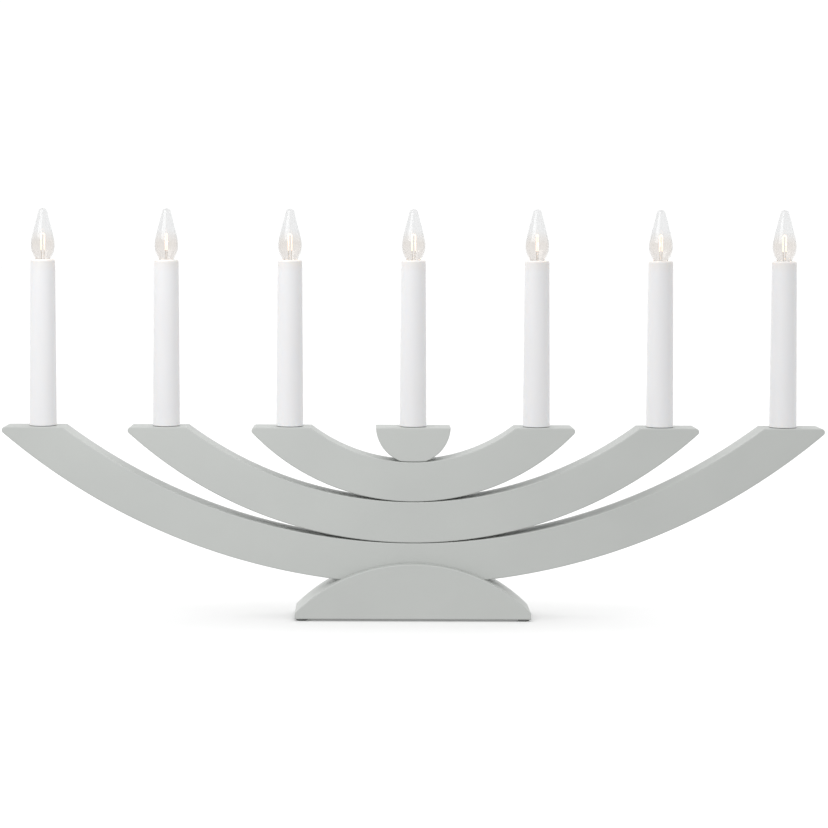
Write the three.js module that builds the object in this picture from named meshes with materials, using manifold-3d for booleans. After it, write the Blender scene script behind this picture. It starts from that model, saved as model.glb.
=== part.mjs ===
// A seven-light electric candlestick. Three nested crescent arms and a half-round cup stand on an
// arched base, and each arm end and the cup carries a tapered sleeve with a screw lamp in its top.
// Millimetres, +Z up, front towards -Y. The origin lies under the middle of the base, on the
// surface that the foot pads stand on.
import * as THREE from 'three';
import { mergeVertices } from 'three/addons/utils/BufferGeometryUtils.js';
import Module from 'manifold-3d';

const wasm = await Module();
wasm.setup();

// Fits and facets
const SEAT_GAP = 0.3; // between pieces that rest on or in each other
const THREAD_GAP = 0.4; // between a lamp's cap and the shell that it screws into
const OVERCUT = 1; // how far a cutter runs past the face that it opens
const ARC_TOLERANCE = 0.18; // how far a facet may stand off a curved outline
const SLEEVE_FACETS = 14;
const GLASS_FACETS = 12;
const HOLDER_FACETS = 10; // lampholders and lamp caps
const SMALL_FACETS = 8; // pins, stems and contacts
const LEAD_SIDES = 6;
const CROWN_STEPS = 2; // facets down the lamp glass: tip, taper and neck
const TAPER_STEPS = 4;
const NECK_STEPS = 2;

// Base and foot pads
const BASE_WIDTH = 171;
const BASE_HEIGHT = 40;
const BASE_DEPTH = 40;
const BASE_END_HEIGHT = 6; // upright part of the ends, below the arch
const GROOVE_DEPTH = 15.5; // how far the lower arm is let into the base
const PAD_RADIUS = 4;
const PAD_HEIGHT = 1.5;
const PAD_FROM_END = 5.2; // pad centre to the end of the base
const PAD_FROM_FACE = 5.5; // pad centre to the front or back of the base

// Arms and cup
const ARM_DEPTH = 25; // front to back, also of the cup
const LOWER_THICKNESS = 29.7; // arm thicknesses at the middle
const MIDDLE_THICKNESS = 29.7;
const UPPER_THICKNESS = 28.7;
const LOWER_OVERHANG = 32.4; // top land outside each light's axis, to the unrounded tip
const MIDDLE_OVERHANG = 30.9;
const UPPER_OVERHANG = 30.5;
const LAND_INSIDE = 15.8; // top land inside each light's axis
const TIP_RADIUS = 2.5;
const CUP_HALF_WIDTH = 27.1;
const CUP_HEIGHT = 24.7;
const CUP_SEAT_CUT = 1.2; // depth of the round that the seat cuts off
const EDGE_ROUND = 0.8; // softened front and back edges of all the wood
const EDGE_STEPS = 1;

// Pins and screw
const DOWEL_RADIUS = 4;
const DOWEL_LENGTH = 12;
const SCREW_RADIUS = 2;
const SCREW_HEAD_RADIUS = 4.2;
const SCREW_HEAD_HEIGHT = 2.4;
const SCREW_RECESS = 0.5; // head below the base's underside
const SCREW_GRIP = 15; // length in the lower arm
const SCREW_POINT = 3;

// Row of lights
const LIGHT_SPACING = 90;

// Sleeve
const SLEEVE_HEIGHT = 121.3;
const SLEEVE_BOTTOM_RADIUS = 10;
const SLEEVE_TOP_RADIUS = 9.05;
const SLEEVE_WALL = 1.2;
const SLEEVE_FLOOR = 2;
const SLEEVE_LIP = 1.5; // thickness of the lip round the mouth
const SLEEVE_EDGE = 1.2; // rounding of the top edge
const MOUTH_CLEARANCE = 0.6; // lamp to the mouth that it passes through
const SPIGOT_RADIUS = 6; // plug under the sleeve, in the arm's bore
const SPIGOT_LENGTH = 6;
const SPIGOT_WALL = 1.6;

// Lamp, with heights counted from the sleeve's top
const LAMP_HEIGHT = 37;
const BELLY_HEIGHT = 10.9;
const BELLY_RADIUS = 8.6;
const NECK_RADIUS = 5.1; // glass radius level with the sleeve's top
const LAMP_TIP_RADIUS = 2.5;
const LAMP_TIP_DOME = 0.6; // height of the blunt tip's crown
const TIP_TAPER_RATIO = 0.25; // radius gained per height just under the tip
const TAPER_SHARE = 0.64; // how long the taper stays straight, in shares of tip to belly
const BELLY_SHARE = 0.15; // how full the belly is above its widest, in the same shares
const BELOW_BELLY_SHARE = 0.36; // how full it is below, in shares of belly to mouth
const GLASS_WALL = 0.7;
const TUCK_DEPTH = 3.2; // from the mouth down to where the glass enters its cap
const TUCK_LENGTH = 2.2; // glass held inside the cap

// Lamp cap, end contact and lampholder
const CAP_RADIUS = 4.7;
const CAP_SKIRT = 0.3; // flare of the cap's top edge
const CAP_SKIRT_HEIGHT = 1;
const CAP_LENGTH = 9.4;
const CAP_WALL = 0.35;
const CAP_FLOOR = 1;
const INSULATOR_HEIGHT = 1.4;
const INSULATOR_RADIUS = 2.4; // at its lower end
const CONTACT_RADIUS = 1.9;
const CONTACT_HEIGHT = 1.1;
const CONTACT_EDGE = 0.5;
const HOLDER_FLOOR = 4;
const HOLDER_BOSS_RADIUS = 1.6; // centre contact in the lampholder
const HOLDER_BOSS_HEIGHT = 0.5;

// Filament, with heights counted from the sleeve's top
const STEM_FOOT = 1; // wide foot of the glass stem, in the lamp's neck
const STEM_RADIUS = 1.9;
const STEM_TOP = 1;
const FILAMENT_SPREAD = 1.7; // half the distance between its two legs
const FILAMENT_TOP = 18.6;
const FILAMENT_RADIUS = 0.4;

// Wiring in the backs of the arms
const LEAD_RADIUS = 1.1;
const GROOVE_WIDTH = 6;
const ARM_GROOVE_DEPTH = 5.9;
const LEAD_TURN = 14; // where a lead leaves its groove's floor, short of the light's axis
const LEAD_FACET_LENGTH = 13; // length of a lead's straight facets
const RISER_FACET_LENGTH = 5.5;
const PASSAGE_FLOOR = 2.5; // how far a wire passage runs in front of the lights' plane
const BUSH_RADIUS = 3.7;
const BUSH_BORE = 2.4;
const BUSH_FLANGE_RADIUS = 5.2;
const BUSH_FLANGE = 1.6;

// Worked-out levels
const BASE_BOTTOM = PAD_HEIGHT;
const BASE_TOP = BASE_BOTTOM + BASE_HEIGHT;
const LOWER_BOTTOM = BASE_TOP - GROOVE_DEPTH;
const LOWER_INSIDE = LOWER_BOTTOM + LOWER_THICKNESS;
const MIDDLE_BOTTOM = LOWER_INSIDE + SEAT_GAP;
const MIDDLE_INSIDE = MIDDLE_BOTTOM + MIDDLE_THICKNESS;
const UPPER_BOTTOM = MIDDLE_INSIDE + SEAT_GAP;
const UPPER_INSIDE = UPPER_BOTTOM + UPPER_THICKNESS;
const CUP_BOTTOM = UPPER_INSIDE + SEAT_GAP;
const ARM_TOP = CUP_BOTTOM + CUP_HEIGHT;
const BACK = ARM_DEPTH / 2;

// Worked-out sizes of the lamp and its holder
const CAP_TOP = -TUCK_DEPTH - SEAT_GAP;
const CAP_BOTTOM = CAP_TOP - CAP_LENGTH;
const INSULATOR_BOTTOM = CAP_BOTTOM - INSULATOR_HEIGHT;
const CONTACT_TOP = INSULATOR_BOTTOM - SEAT_GAP;
const CONTACT_BOTTOM = CONTACT_TOP - CONTACT_HEIGHT;
const BOSS_TOP = CONTACT_BOTTOM - SEAT_GAP;
const HOLDER_INSIDE = BOSS_TOP - HOLDER_BOSS_HEIGHT;
const HOLDER_BOTTOM = HOLDER_INSIDE - HOLDER_FLOOR;
const HOLDER_BORE = CAP_RADIUS + CAP_SKIRT + THREAD_GAP;
const HOLDER_RADIUS = SLEEVE_TOP_RADIUS - SLEEVE_WALL - SEAT_GAP;
const MOUTH_RADIUS = Math.max(NECK_RADIUS, CAP_RADIUS + CAP_SKIRT) + MOUTH_CLEARANCE;
const TUCK_RADIUS = CAP_RADIUS - CAP_WALL - SEAT_GAP;
const TUCK_BOTTOM = -TUCK_DEPTH - TUCK_LENGTH;

// Worked-out places of the wiring, measured back from the lights' plane
const ARM_GROOVE_FLOOR = BACK - ARM_GROOVE_DEPTH;
const ARM_LEAD_Y = ARM_GROOVE_FLOOR + SEAT_GAP + LEAD_RADIUS;
const RISER_FLOOR = ARM_LEAD_Y + LEAD_RADIUS;
const RISER_Y = RISER_FLOOR + SEAT_GAP + LEAD_RADIUS;
const INLET_HEIGHT = BASE_TOP - GROOVE_DEPTH / 2;
const LEAD_END = SLEEVE_HEIGHT + HOLDER_BOTTOM - SEAT_GAP; // above the arm tops

// The arms from the lowest up, each carrying the next pair of lights inwards
const ARMS = [
  { name: 'lower', bottom: LOWER_BOTTOM, inside: LOWER_INSIDE, overhang: LOWER_OVERHANG },
  { name: 'middle', bottom: MIDDLE_BOTTOM, inside: MIDDLE_INSIDE, overhang: MIDDLE_OVERHANG },
  { name: 'upper', bottom: UPPER_BOTTOM, inside: UPPER_INSIDE, overhang: UPPER_OVERHANG },
];

const candlestick = new THREE.Group();

function finish(color, roughness, metalness, opacity = 1) {
  return new THREE.MeshStandardMaterial({
    color,
    roughness,
    metalness,
    opacity,
    transparent: opacity < 1,
  });
}

const FINISHES = {
  paintedWood: () => finish(0xb7bab6, 0.55, 0),
  bareWood: () => finish(0xcaa878, 0.7, 0),
  sleevePlastic: () => finish(0xefeeee, 0.35, 0),
  holderPlastic: () => finish(0xe4e1da, 0.45, 0),
  glass: () => finish(0xf4f6f5, 0.03, 0, 0.25),
  filament: () => finish(0xffe2b0, 0.5, 0.2),
  cap: () => finish(0xc9b27a, 0.3, 1),
  solder: () => finish(0xb4b6b8, 0.35, 1),
  steel: () => finish(0xa9abad, 0.35, 1),
  lead: () => finish(0xe9e8e4, 0.5, 0),
  rubber: () => finish(0x8d908e, 0.7, 0),
  pad: () => finish(0x6f7170, 0.8, 0),
};

function addPiece(parent, name, geometry, finishName) {
  const piece = new THREE.Mesh(geometry, FINISHES[finishName]());
  piece.name = name;
  parent.add(piece);
}

// Joining and cutting of closed shapes

function toSolid(geometry) {
  const bare = geometry.clone();
  bare.deleteAttribute('normal');
  bare.deleteAttribute('uv');
  const merged = mergeVertices(bare);
  return new wasm.Manifold(new wasm.Mesh({
    numProp: 3,
    vertProperties: new Float32Array(merged.attributes.position.array),
    triVerts: new Uint32Array(merged.index.array),
  }));
}

function toGeometry(solid) {
  const mesh = solid.getMesh();
  const geometry = new THREE.BufferGeometry();
  geometry.setAttribute('position', new THREE.BufferAttribute(mesh.vertProperties, mesh.numProp));
  geometry.setIndex(new THREE.BufferAttribute(mesh.triVerts, 1));
  geometry.computeVertexNormals();
  return geometry;
}

function cut(geometry, cutters) {
  return toGeometry(cutters.reduce((rest, cutter) => rest.subtract(toSolid(cutter)), toSolid(geometry)));
}

function join(first, second) {
  return toGeometry(toSolid(first).add(toSolid(second)));
}

// Basic forms

// A turned piece about the Z axis, from [radius, height] points that start and end on the axis or
// close on themselves.
function turned(outline, facets) {
  const points = outline.map(([radius, height]) => new THREE.Vector2(radius, height));
  const geometry = new THREE.LatheGeometry(points, facets);
  geometry.rotateX(Math.PI / 2);
  return geometry;
}

// An upright drilling of the given radius between two heights.
function drilling(radius, low, high) {
  return turned([[0, low], [radius, low], [radius, high], [0, high]], SLEEVE_FACETS);
}

// A front-view outline of [x, z] points, given depth from one y to another.
function slab(outline, front, back, edge = 0) {
  const shape = new THREE.Shape(outline.map(([x, z]) => new THREE.Vector2(x, z)));
  const geometry = new THREE.ExtrudeGeometry(shape, {
    depth: back - front - 2 * edge,
    bevelEnabled: edge > 0,
    bevelThickness: edge,
    bevelSize: edge,
    bevelOffset: -edge,
    bevelSegments: EDGE_STEPS,
  });
  geometry.rotateX(Math.PI / 2);
  geometry.translate(0, back - edge, 0);
  return geometry;
}

// A box between two corners.
function block([left, front, low], [right, back, high]) {
  return slab([[left, low], [right, low], [right, high], [left, high]], front, back);
}

// A wire along a smooth curve through the points, in straight facets of about the given length.
function wire(points, step) {
  const section = Array.from({ length: LEAD_SIDES }, (_, side) => {
    const angle = (side / LEAD_SIDES) * 2 * Math.PI;
    return new THREE.Vector2(LEAD_RADIUS * Math.cos(angle), LEAD_RADIUS * Math.sin(angle));
  });
  const path = new THREE.CatmullRomCurve3(points.map((point) => new THREE.Vector3(...point)));
  const steps = Math.round(path.getLength() / step);
  return new THREE.ExtrudeGeometry(new THREE.Shape(section), { steps, extrudePath: path });
}

// Points along an arc about [x, z], both ends included.
function arcPoints(x, z, radius, from, to) {
  const facet = 2 * Math.acos(1 - ARC_TOLERANCE / radius);
  const count = Math.max(2, Math.ceil(Math.abs(to - from) / facet));
  return Array.from({ length: count + 1 }, (_, index) => {
    const angle = from + (to - from) * (index / count);
    return [x + radius * Math.cos(angle), z + radius * Math.sin(angle)];
  });
}

// The circle, centred above the middle, that dips to the bottom and reaches the arm tops at the span.
function sagging(halfSpan, bottom) {
  const rise = ARM_TOP - bottom;
  const radius = (halfSpan ** 2 + rise ** 2) / (2 * rise);
  return { radius, z: bottom + radius };
}

// Height of the lower side of a circle at x.
function heightAt(circle, x) {
  return circle.z - Math.sqrt(circle.radius ** 2 - x ** 2);
}

// Angle of the point on a circle's lower side at x.
function angleAt(circle, x) {
  return -Math.acos(x / circle.radius);
}

// Crescent arms

function armForm(arm, index) {
  const light = (ARMS.length - index) * LIGHT_SPACING;
  const outer = sagging(light + arm.overhang, arm.bottom);
  const inner = sagging(light - LAND_INSIDE, arm.inside);
  const middle = { radius: (outer.radius + inner.radius) / 2, z: (outer.z + inner.z) / 2 };
  return { ...arm, light, outer, inner, middle };
}

function crescentOutline({ outer, inner, light }) {
  const tipZ = ARM_TOP - TIP_RADIUS;
  const tipX = Math.sqrt((outer.radius - TIP_RADIUS) ** 2 - (outer.z - tipZ) ** 2);
  const tipAngle = Math.atan2(tipZ - outer.z, tipX);
  const landAngle = angleAt(inner, light - LAND_INSIDE);
  return [
    ...arcPoints(0, inner.z, inner.radius, landAngle, -Math.PI - landAngle),
    ...arcPoints(-tipX, tipZ, TIP_RADIUS, Math.PI / 2, Math.PI - tipAngle),
    ...arcPoints(0, outer.z, outer.radius, -Math.PI - tipAngle, tipAngle).slice(1, -1),
    ...arcPoints(tipX, tipZ, TIP_RADIUS, tipAngle, Math.PI / 2),
  ];
}

// A band along an arm's middle line, between two x places and from a groove floor out of the back.
function grooveCutter({ middle }, from, to, floor) {
  const start = angleAt(middle, from);
  const end = angleAt(middle, to);
  const half = GROOVE_WIDTH / 2;
  const outline = [
    ...arcPoints(0, middle.z, middle.radius + half, start, end),
    ...arcPoints(0, middle.z, middle.radius - half, end, start),
  ];
  return slab(outline, floor, BACK + OVERCUT);
}

// The upright groove for the riser lead, across the back of an arm or of the cup.
function riserCutter(low, high) {
  const half = GROOVE_WIDTH / 2;
  return block([-half, RISER_FLOOR, low], [half, BACK + OVERCUT, high]);
}

// The bore for a sleeve's spigot, with room below it for the lead to come in.
function spigotBore(x) {
  const depth = SPIGOT_LENGTH + GROOVE_WIDTH;
  const bore = drilling(SPIGOT_RADIUS + SEAT_GAP, ARM_TOP - depth, ARM_TOP + OVERCUT);
  return bore.translate(x, 0, 0);
}

function dowelBore(level) {
  const reach = DOWEL_LENGTH / 2 + SEAT_GAP;
  return drilling(DOWEL_RADIUS + SEAT_GAP, level - reach, level + reach);
}

function arm(form) {
  const { light, bottom, inside } = form;
  const crescent = slab(crescentOutline(form), -BACK, BACK, EDGE_ROUND);
  const isLowest = bottom === LOWER_BOTTOM;
  const below = isLowest
    ? drilling(SCREW_RADIUS + SEAT_GAP, bottom - OVERCUT, bottom + SCREW_GRIP + SEAT_GAP)
    : dowelBore(bottom - SEAT_GAP / 2);
  const grooveEnd = light - LEAD_RADIUS;
  const passageStart = light - LEAD_TURN - GROOVE_WIDTH;
  return cut(crescent, [
    below,
    dowelBore(inside + SEAT_GAP / 2),
    grooveCutter(form, -grooveEnd, grooveEnd, ARM_GROOVE_FLOOR),
    riserCutter(bottom - OVERCUT, inside + OVERCUT),
    grooveCutter(form, -grooveEnd, -passageStart, -PASSAGE_FLOOR),
    grooveCutter(form, passageStart, grooveEnd, -PASSAGE_FLOOR),
    spigotBore(-light),
    spigotBore(light),
  ]);
}

const forms = ARMS.map(armForm);
const [lowerForm, , upperForm] = forms;

forms.forEach((form) => addPiece(candlestick, `${form.name}_arm`, arm(form), 'paintedWood'));

// Half-round cup, with its underside fitted to the upper arm's hollow

function cup() {
  const seat = { radius: upperForm.inner.radius - SEAT_GAP, z: upperForm.inner.z };
  const round = sagging(CUP_HALF_WIDTH, CUP_BOTTOM - CUP_SEAT_CUT);
  const seatTerm = seat.radius ** 2 - seat.z ** 2;
  const meetZ = (round.radius ** 2 - round.z ** 2 - seatTerm) / (2 * (seat.z - round.z));
  const meetX = Math.sqrt(round.radius ** 2 - (meetZ - round.z) ** 2);
  const topAngle = Math.atan2(ARM_TOP - round.z, CUP_HALF_WIDTH);
  const sideAngle = Math.atan2(meetZ - round.z, meetX);
  const seatAngle = Math.atan2(meetZ - seat.z, meetX);
  const outline = [
    ...arcPoints(0, round.z, round.radius, Math.PI - topAngle, Math.PI - sideAngle),
    ...arcPoints(0, seat.z, seat.radius, -Math.PI - seatAngle, seatAngle).slice(1, -1),
    ...arcPoints(0, round.z, round.radius, sideAngle, topAngle),
  ];
  const half = GROOVE_WIDTH / 2;
  const passageLow = ARM_TOP - LEAD_TURN - LEAD_RADIUS;
  const passageHigh = ARM_TOP - SPIGOT_LENGTH;
  const passage = block([-half, -PASSAGE_FLOOR, passageLow], [half, BACK + OVERCUT, passageHigh]);
  return cut(slab(outline, -BACK, BACK, EDGE_ROUND), [
    spigotBore(0),
    dowelBore(CUP_BOTTOM - SEAT_GAP / 2),
    riserCutter(CUP_BOTTOM - OVERCUT, passageLow + OVERCUT),
    passage,
  ]);
}

addPiece(candlestick, 'centre_cup', cup(), 'paintedWood');

// Dowels between arm and arm, and between the upper arm and the cup

function dowel(level) {
  const reach = DOWEL_LENGTH / 2;
  return turned(
    [[0, level - reach], [DOWEL_RADIUS, level - reach], [DOWEL_RADIUS, level + reach], [0, level + reach]],
    SMALL_FACETS,
  );
}

forms.forEach((form) => {
  addPiece(candlestick, `${form.name}_dowel`, dowel(form.inside + SEAT_GAP / 2), 'bareWood');
});

// Arched base, its foot pads, its screw and the bush for the mains cord

function base() {
  const half = BASE_WIDTH / 2;
  const endZ = BASE_BOTTOM + BASE_END_HEIGHT;
  const rise = BASE_TOP - endZ;
  const radius = (half ** 2 + rise ** 2) / (2 * rise);
  const arch = { radius, z: BASE_TOP - radius };
  const endAngle = Math.atan2(endZ - arch.z, half);
  const outline = [
    [-half, BASE_BOTTOM],
    [half, BASE_BOTTOM],
    ...arcPoints(0, arch.z, arch.radius, endAngle, Math.PI - endAngle),
  ];
  const seat = { radius: lowerForm.outer.radius + SEAT_GAP, z: lowerForm.outer.z };
  const groove = slab(
    [
      ...arcPoints(0, seat.z, seat.radius, angleAt(seat, -half), angleAt(seat, half)),
      [half, BASE_TOP + OVERCUT],
      [-half, BASE_TOP + OVERCUT],
    ],
    -BACK - SEAT_GAP,
    BACK + SEAT_GAP,
  );
  const screwHole = drilling(SCREW_RADIUS + SEAT_GAP, BASE_BOTTOM - OVERCUT, LOWER_BOTTOM);
  const headLow = BASE_BOTTOM + SCREW_RECESS;
  const countersink = turned(
    [
      [0, BASE_BOTTOM - OVERCUT],
      [SCREW_HEAD_RADIUS + SEAT_GAP, BASE_BOTTOM - OVERCUT],
      [SCREW_HEAD_RADIUS + SEAT_GAP, headLow],
      [SCREW_RADIUS + SEAT_GAP, headLow + SCREW_HEAD_HEIGHT],
      [0, headLow + SCREW_HEAD_HEIGHT],
    ],
    SLEEVE_FACETS,
  );
  const inlet = backTurned([
    [0, BACK],
    [BUSH_RADIUS + SEAT_GAP, BACK],
    [BUSH_RADIUS + SEAT_GAP, BASE_DEPTH / 2 - BUSH_FLANGE - SEAT_GAP],
    [BUSH_FLANGE_RADIUS + SEAT_GAP, BASE_DEPTH / 2 - BUSH_FLANGE - SEAT_GAP],
    [BUSH_FLANGE_RADIUS + SEAT_GAP, BASE_DEPTH / 2 + OVERCUT],
    [0, BASE_DEPTH / 2 + OVERCUT],
  ]);
  const body = slab(outline, -BASE_DEPTH / 2, BASE_DEPTH / 2, EDGE_ROUND);
  return cut(body, [groove, screwHole, countersink, inlet]);
}

// A turned piece about the inlet's axis, from [radius, distance back] points.
function backTurned(outline) {
  const geometry = turned(outline, SLEEVE_FACETS);
  geometry.rotateX(-Math.PI / 2);
  geometry.translate(0, 0, INLET_HEIGHT);
  return geometry;
}

function cordBush() {
  const face = BASE_DEPTH / 2;
  const inside = BACK + 2 * LEAD_RADIUS;
  return backTurned([
    [BUSH_BORE, inside],
    [BUSH_RADIUS, inside],
    [BUSH_RADIUS, face - BUSH_FLANGE],
    [BUSH_FLANGE_RADIUS, face - BUSH_FLANGE],
    [BUSH_FLANGE_RADIUS, face],
    [BUSH_BORE, face],
    [BUSH_BORE, inside],
  ]);
}

function baseScrew() {
  const low = BASE_BOTTOM + SCREW_RECESS;
  const tip = LOWER_BOTTOM + SCREW_GRIP;
  return turned(
    [
      [0, low],
      [SCREW_HEAD_RADIUS, low],
      [SCREW_RADIUS, low + SCREW_HEAD_HEIGHT],
      [SCREW_RADIUS, tip - SCREW_POINT],
      [0, tip],
    ],
    SMALL_FACETS,
  );
}

function footPad() {
  return turned([[0, 0], [PAD_RADIUS, 0], [PAD_RADIUS, PAD_HEIGHT], [0, PAD_HEIGHT]], SLEEVE_FACETS);
}

addPiece(candlestick, 'base', base(), 'paintedWood');
addPiece(candlestick, 'cord_bush', cordBush(), 'rubber');
addPiece(candlestick, 'base_screw', baseScrew(), 'steel');

[[-1, -1], [1, -1], [-1, 1], [1, 1]].forEach(([side, face], index) => {
  const corner = new THREE.Group();
  corner.position.x = side * (BASE_WIDTH / 2 - PAD_FROM_END);
  corner.position.y = face * (BASE_DEPTH / 2 - PAD_FROM_FACE);
  addPiece(corner, `foot_pad_${index + 1}`, footPad(), 'pad');
  candlestick.add(corner);
});

// Wiring: one lead tip to tip in each arm, and one from the base up to the middle light

// The last stretch of a lead: up out of the wood, through the sleeve and to the lampholder.
function leadUpSleeve(x) {
  return [
    [x, 0, ARM_TOP],
    [x, 0, ARM_TOP + LEAD_END / 2],
    [x, 0, ARM_TOP + LEAD_END],
  ];
}

function armLead({ middle, light }) {
  const turnAngle = angleAt(middle, light - LEAD_TURN);
  const alongGroove = arcPoints(0, middle.z, middle.radius, angleAt(middle, 0), turnAngle);
  const towardsBore = [light - LEAD_TURN / 2, light - 2 * LEAD_RADIUS].map((x) => {
    const share = (light - x) / LEAD_TURN;
    return [x, share * ARM_LEAD_Y, heightAt(middle, x)];
  });
  const right = [
    ...alongGroove.map(([x, z]) => [x, ARM_LEAD_Y, z]),
    ...towardsBore,
    ...leadUpSleeve(light),
  ];
  const left = right.slice(1).reverse().map(([x, y, z]) => [-x, y, z]);
  return wire([...left, ...right], LEAD_FACET_LENGTH);
}

function riserLead() {
  return wire([
    [0, BASE_DEPTH / 2 - BUSH_FLANGE, INLET_HEIGHT],
    [0, BACK + LEAD_RADIUS, INLET_HEIGHT + LEAD_RADIUS / 2],
    [0, RISER_Y, INLET_HEIGHT + GROOVE_WIDTH],
    [0, RISER_Y, INLET_HEIGHT + 2 * GROOVE_WIDTH],
    [0, RISER_Y, ARM_TOP - LEAD_TURN - GROOVE_WIDTH],
    [0, RISER_Y, ARM_TOP - LEAD_TURN],
    [0, RISER_Y / 2, ARM_TOP - SPIGOT_LENGTH - GROOVE_WIDTH / 2],
    ...leadUpSleeve(0),
  ], RISER_FACET_LENGTH);
}

forms.forEach((form) => addPiece(candlestick, `${form.name}_lead`, armLead(form), 'lead'));
addPiece(candlestick, 'riser_lead', riserLead(), 'lead');

// Lights: sleeve, lampholder and lamp, in a frame with its origin on the arm tops

function sleeve() {
  const bore = SPIGOT_RADIUS - SPIGOT_WALL;
  const lowInside = SLEEVE_BOTTOM_RADIUS - SLEEVE_WALL;
  const highInside = SLEEVE_TOP_RADIUS - SLEEVE_WALL;
  const foot = SEAT_GAP;
  return turned(
    [
      [bore, foot - SPIGOT_LENGTH],
      [SPIGOT_RADIUS, foot - SPIGOT_LENGTH],
      [SPIGOT_RADIUS, foot],
      [SLEEVE_BOTTOM_RADIUS, foot],
      [SLEEVE_TOP_RADIUS, SLEEVE_HEIGHT - SLEEVE_EDGE],
      [SLEEVE_TOP_RADIUS - SLEEVE_EDGE, SLEEVE_HEIGHT],
      [MOUTH_RADIUS, SLEEVE_HEIGHT],
      [MOUTH_RADIUS, SLEEVE_HEIGHT - SLEEVE_LIP],
      [highInside, SLEEVE_HEIGHT - SLEEVE_LIP],
      [lowInside, foot + SLEEVE_FLOOR],
      [bore, foot + SLEEVE_FLOOR],
      [bore, foot - SPIGOT_LENGTH],
    ],
    SLEEVE_FACETS,
  );
}

function lampholder() {
  const top = -SLEEVE_LIP - SEAT_GAP;
  return turned(
    [
      [0, HOLDER_BOTTOM],
      [HOLDER_RADIUS, HOLDER_BOTTOM],
      [HOLDER_RADIUS, top],
      [HOLDER_BORE, top],
      [HOLDER_BORE, HOLDER_INSIDE],
      [HOLDER_BOSS_RADIUS, HOLDER_INSIDE],
      [HOLDER_BOSS_RADIUS, BOSS_TOP],
      [0, BOSS_TOP],
    ],
    HOLDER_FACETS,
  );
}

// The glass's side from its blunt tip down to its neck, as [radius, height] points set in by a wall.
function glassSide(wall) {
  const tip = LAMP_TIP_RADIUS - wall;
  const belly = BELLY_RADIUS - wall;
  const crownZ = LAMP_HEIGHT - LAMP_TIP_DOME - wall;
  const taperLength = crownZ - BELLY_HEIGHT;
  const straight = TAPER_SHARE * taperLength;
  const crown = new THREE.EllipseCurve(0, crownZ, tip, LAMP_TIP_DOME, Math.PI / 2, 0, true);
  const taper = new THREE.CubicBezierCurve(
    new THREE.Vector2(tip, crownZ),
    new THREE.Vector2(tip + TIP_TAPER_RATIO * straight, crownZ - straight),
    new THREE.Vector2(belly, BELLY_HEIGHT + BELLY_SHARE * taperLength),
    new THREE.Vector2(belly, BELLY_HEIGHT),
  );
  const below = new THREE.QuadraticBezierCurve(
    new THREE.Vector2(belly, BELLY_HEIGHT),
    new THREE.Vector2(belly, BELLY_HEIGHT * (1 - BELOW_BELLY_SHARE)),
    new THREE.Vector2(NECK_RADIUS - wall, 0),
  );
  return [
    [0, crownZ + LAMP_TIP_DOME],
    ...crown.getPoints(CROWN_STEPS).slice(1).map(({ x, y }) => [x, y]),
    ...taper.getPoints(TAPER_STEPS).slice(1).map(({ x, y }) => [x, y]),
    ...below.getPoints(NECK_STEPS).slice(1).map(({ x, y }) => [x, y]),
    [TUCK_RADIUS - wall, -TUCK_DEPTH],
    [TUCK_RADIUS - wall, TUCK_BOTTOM],
  ];
}

function lampGlass() {
  return turned([...glassSide(GLASS_WALL), ...glassSide(0).reverse()], GLASS_FACETS);
}

// A glass stem in the lamp's neck, with a wire that rises from it and bends over at the top.
function lampFilament() {
  const footRadius = TUCK_RADIUS - GLASS_WALL - SEAT_GAP;
  const stem = turned(
    [
      [0, TUCK_BOTTOM],
      [footRadius, TUCK_BOTTOM],
      [footRadius, TUCK_BOTTOM + STEM_FOOT],
      [STEM_RADIUS, -STEM_FOOT],
      [STEM_RADIUS, STEM_TOP],
      [0, STEM_TOP],
    ],
    SMALL_FACETS,
  );
  const outside = FILAMENT_SPREAD + FILAMENT_RADIUS;
  const inside = FILAMENT_SPREAD - FILAMENT_RADIUS;
  const bendZ = FILAMENT_TOP - outside;
  const hoop = slab(
    [
      [outside, -STEM_FOOT],
      ...arcPoints(0, bendZ, outside, 0, Math.PI),
      [-outside, -STEM_FOOT],
      [-inside, -STEM_FOOT],
      ...arcPoints(0, bendZ, inside, Math.PI, 0),
      [inside, -STEM_FOOT],
    ],
    -FILAMENT_RADIUS,
    FILAMENT_RADIUS,
  );
  return join(stem, hoop);
}

function lampCap() {
  const inside = CAP_RADIUS - CAP_WALL;
  return turned(
    [
      [0, INSULATOR_BOTTOM],
      [INSULATOR_RADIUS, INSULATOR_BOTTOM],
      [CAP_RADIUS, CAP_BOTTOM],
      [CAP_RADIUS, CAP_TOP - CAP_SKIRT_HEIGHT],
      [CAP_RADIUS + CAP_SKIRT, CAP_TOP - CAP_SKIRT_HEIGHT + CAP_SKIRT],
      [CAP_RADIUS + CAP_SKIRT, CAP_TOP],
      [inside, CAP_TOP],
      [inside, CAP_BOTTOM + CAP_FLOOR],
      [0, CAP_BOTTOM + CAP_FLOOR],
    ],
    HOLDER_FACETS,
  );
}

function lampContact() {
  return turned(
    [
      [0, CONTACT_BOTTOM],
      [CONTACT_RADIUS - CONTACT_EDGE, CONTACT_BOTTOM],
      [CONTACT_RADIUS, CONTACT_BOTTOM + CONTACT_EDGE],
      [CONTACT_RADIUS, CONTACT_TOP],
      [0, CONTACT_TOP],
    ],
    SMALL_FACETS,
  );
}

const LIGHT_COUNT = 2 * ARMS.length + 1;

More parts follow.
